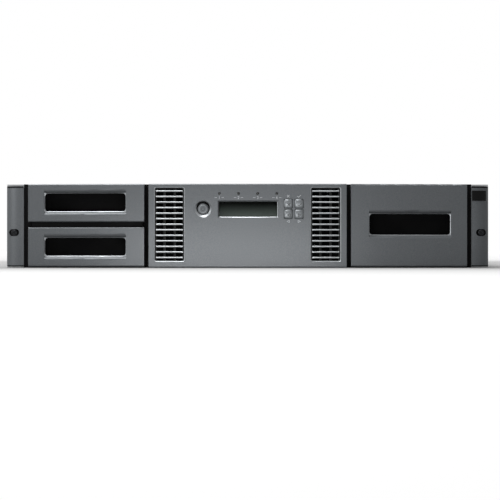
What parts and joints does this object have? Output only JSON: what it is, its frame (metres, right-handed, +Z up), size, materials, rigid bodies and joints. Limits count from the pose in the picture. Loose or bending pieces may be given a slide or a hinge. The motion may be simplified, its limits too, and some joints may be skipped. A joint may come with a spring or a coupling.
{
  "type": "tape library",
  "caption": "Rack-mounted data tape library with a bowed front, pull-out magazines and mailslot, display, keys and an inner robot with a tape drive.",
  "frame": {"origin": "middle of the underside, at the middle of the overall width and depth", "axes": "+X to the right seen from the front, the front faces -Y, +Z up"},
  "size_m": [0.4808, 0.768, 0.083],
  "materials": {
    "silver_plastic": "satin metallic paint",
    "black_plastic": "matt",
    "zinc_steel": "zinc plated",
    "ear_steel": "satin",
    "screw_steel": "bright",
    "dark_glass": "gloss",
    "circuit_board": "solder mask",
    "drive_metal": "satin",
    "motor_metal": "satin"
  },
  "bodies": {
    "chassis": {"chassis_base": "zinc_steel", "top_cover": "zinc_steel", "chassis_screws": "screw_steel", "rear_panel": "zinc_steel", "rack_ear_left": "ear_steel", "rack_ear_right": "ear_steel", "ear_cap_left": "silver_plastic", "ear_cap_right": "silver_plastic", "badge_plate": "black_plastic", "bezel_frame": "black_plastic", "center_bezel": "silver_plastic", "left_grille": "silver_plastic", "right_grille": "silver_plastic", "lcd_window": "dark_glass", "lcd_module": "black_plastic", "status_leds": "dark_glass", "button_ring": "silver_plastic", "panel_board": "circuit_board", "magazine_guides": "zinc_steel", "lock_solenoids": "motor_metal", "robot_rails": "zinc_steel", "drive_sled": "zinc_steel", "drive_body": "drive_metal", "thumbscrews": "screw_steel", "fan_frames": "black_plastic", "psu_case": "zinc_steel", "mains_inlet": "black_plastic", "controller_board": "circuit_board"},
    "power_button": {"power_button": "silver_plastic"},
    "key_up_left": {"key_up_left": "silver_plastic"},
    "key_up_right": {"key_up_right": "silver_plastic"},
    "key_down_left": {"key_down_left": "silver_plastic"},
    "key_down_right": {"key_down_right": "silver_plastic"},
    "left_magazine": {"left_magazine_front": "silver_plastic", "left_grip": "black_plastic", "left_magazine_body": "black_plastic", "left_cell_springs": "screw_steel"},
    "mailslot": {"mailslot_front": "silver_plastic", "mailslot_grip": "black_plastic", "mailslot_tray": "black_plastic"},
    "right_magazine": {"right_magazine_front": "silver_plastic", "right_grip": "black_plastic", "right_magazine_body": "black_plastic", "right_cell_springs": "screw_steel"},
    "left_lock": {"left_lock_plunger": "screw_steel"},
    "right_lock": {"right_lock_plunger": "screw_steel"},
    "robot": {"robot_sled": "ear_steel", "travel_motor": "motor_metal", "lift_motor": "motor_metal"},
    "travel_pinion": {"travel_pinion": "zinc_steel"},
    "lift_screw": {"lift_screw": "screw_steel"},
    "lift": {"lift_frame": "ear_steel", "turn_motor": "motor_metal"},
    "turn_pinion": {"turn_pinion": "zinc_steel"},
    "turntable": {"turntable": "zinc_steel", "barcode_reader": "dark_glass"},
    "picker": {"picker": "black_plastic"},
    "drive_door": {"drive_door": "black_plastic"},
    "drive_fan_rotor": {"drive_fan_rotor": "black_plastic"},
    "psu_fan_rotor": {"psu_fan_rotor": "black_plastic"}
  },
  "joints": [
    {"name": "power_button_press", "type": "slide", "parent": "chassis", "child": "power_button", "axis": [0, 1, 0], "range_m": [0, 0.0012], "stiffness_N_per_m": 900},
    {"name": "key_up_left_press", "type": "slide", "parent": "chassis", "child": "key_up_left", "axis": [0, 1, 0], "range_m": [0, 0.0006], "stiffness_N_per_m": 1200},
    {"name": "key_up_right_press", "type": "slide", "parent": "chassis", "child": "key_up_right", "axis": [0, 1, 0], "range_m": [0, 0.0006], "stiffness_N_per_m": 1200},
    {"name": "key_down_left_press", "type": "slide", "parent": "chassis", "child": "key_down_left", "axis": [0, 1, 0], "range_m": [0, 0.0006], "stiffness_N_per_m": 1200},
    {"name": "key_down_right_press", "type": "slide", "parent": "chassis", "child": "key_down_right", "axis": [0, 1, 0], "range_m": [0, 0.0006], "stiffness_N_per_m": 1200},
    {"name": "left_magazine_slide", "type": "slide", "parent": "chassis", "child": "left_magazine", "axis": [0, -1, 0], "range_m": [0, 0.41]},
    {"name": "mailslot_slide", "type": "slide", "parent": "left_magazine", "child": "mailslot", "axis": [0, -1, 0], "range_m": [0, 0.13]},
    {"name": "right_magazine_slide", "type": "slide", "parent": "chassis", "child": "right_magazine", "axis": [0, -1, 0], "range_m": [0, 0.41]},
    {"name": "left_lock_slide", "type": "slide", "parent": "chassis", "child": "left_lock", "axis": [-1, 0, 0], "range_m": [0, 0.004]},
    {"name": "right_lock_slide", "type": "slide", "parent": "chassis", "child": "right_lock", "axis": [1, 0, 0], "range_m": [0, 0.004]},
    {"name": "robot_travel", "type": "slide", "parent": "chassis", "child": "robot", "axis": [0, 1, 0], "range_m": [-0.3225, 0]},
    {"name": "travel_pinion_spin", "type": "hinge", "parent": "robot", "child": "travel_pinion", "pos_m": [0.086, -0.02325, 0.004], "axis": [0, 0, 1], "range_deg": [-5, 1900]},
    {"name": "robot_lift", "type": "slide", "parent": "robot", "child": "lift", "axis": [0, 0, 1], "range_m": [0, 0.0502]},
    {"name": "lift_screw_spin", "type": "hinge", "parent": "robot", "child": "lift_screw", "pos_m": [-0.084, -0.02325, 0.01], "axis": [0, 0, 1], "range_deg": [-2300, 5]},
    {"name": "robot_turn", "type": "hinge", "parent": "lift", "child": "turntable", "pos_m": [0, 0.04275, 0.004], "axis": [0, 0, 1], "range_deg": [-90, 90]},
    {"name": "turn_pinion_spin", "type": "hinge", "parent": "lift", "child": "turn_pinion", "pos_m": [0.05834, 0.10109, 0.004], "axis": [0, 0, 1], "range_deg": [-660, 660]},
    {"name": "picker_reach", "type": "slide", "parent": "turntable", "child": "picker", "axis": [0, 1, 0], "range_m": [0, 0.088]},
    {"name": "drive_door_swing", "type": "hinge", "parent": "chassis", "child": "drive_door", "pos_m": [0, 0.14955, 0.0289], "axis": [1, 0, 0], "range_deg": [0, 86], "stiffness_Nm_per_rad": 0.01},
    {"name": "drive_fan_spin", "type": "hinge", "parent": "chassis", "child": "drive_fan_rotor", "pos_m": [-0.042, 0.3685, 0.0228], "axis": [0, 1, 0], "continuous": true},
    {"name": "psu_fan_spin", "type": "hinge", "parent": "chassis", "child": "psu_fan_rotor", "pos_m": [0.1888, 0.3685, 0.0423], "axis": [0, 1, 0], "continuous": true}
  ],
  "couplings": [
    {"joint": "travel_pinion_spin", "follows": "robot_travel", "rad_per_m": -100},
    {"joint": "lift_screw_spin", "follows": "robot_lift", "rad_per_m": -785.4},
    {"joint": "turn_pinion_spin", "follows": "robot_turn", "ratio": -7.25}
  ]
}
